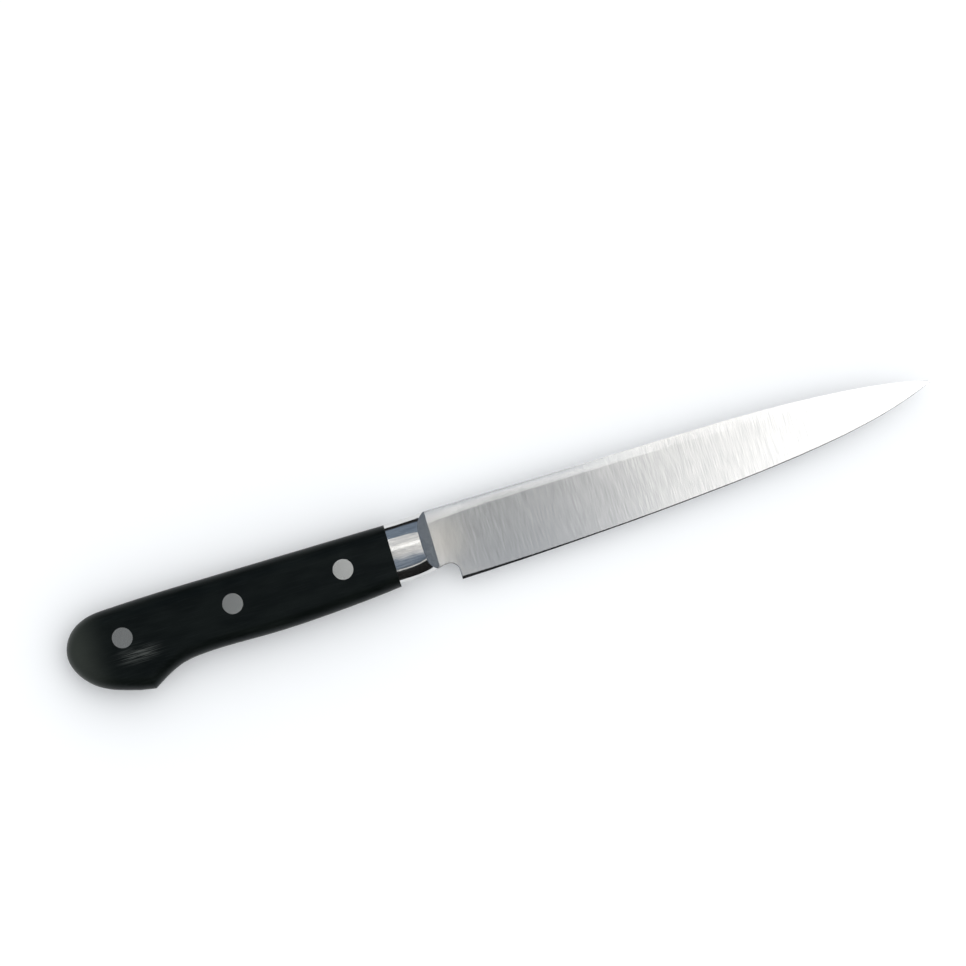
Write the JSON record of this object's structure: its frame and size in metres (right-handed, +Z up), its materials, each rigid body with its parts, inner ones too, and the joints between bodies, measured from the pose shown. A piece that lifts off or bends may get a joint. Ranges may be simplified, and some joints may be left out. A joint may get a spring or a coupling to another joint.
{
  "type": "utility knife",
  "caption": "Narrow single-edged kitchen knife with a full tang, polished metal bolster and riveted dark handle scales ending in a hooked butt.",
  "frame": {"origin": "centre of the part's bounding box in X and Y, on the surface that the knife lies on (lowest point of the left side of the handle)", "axes": "+X along the knife from butt to tip, +Y from the cutting edge towards the spine, +Z up through the thickness, out of the right side of the knife"},
  "size_m": [0.2688, 0.0282, 0.0126],
  "materials": {
    "blade_steel": "satin",
    "bolster_steel": "polished",
    "rivet_steel": "satin",
    "handle_wood": "satin"
  },
  "bodies": {
    "root": {"blade_and_tang": "blade_steel", "bolster_right": "bolster_steel", "bolster_left": "bolster_steel", "handle_scale_right": "handle_wood", "handle_scale_left": "handle_wood", "rivet_front_female": "rivet_steel", "rivet_front_male": "rivet_steel", "rivet_middle_female": "rivet_steel", "rivet_middle_male": "rivet_steel", "rivet_rear_female": "rivet_steel", "rivet_rear_male": "rivet_steel"}
  },
  "joints": []
}
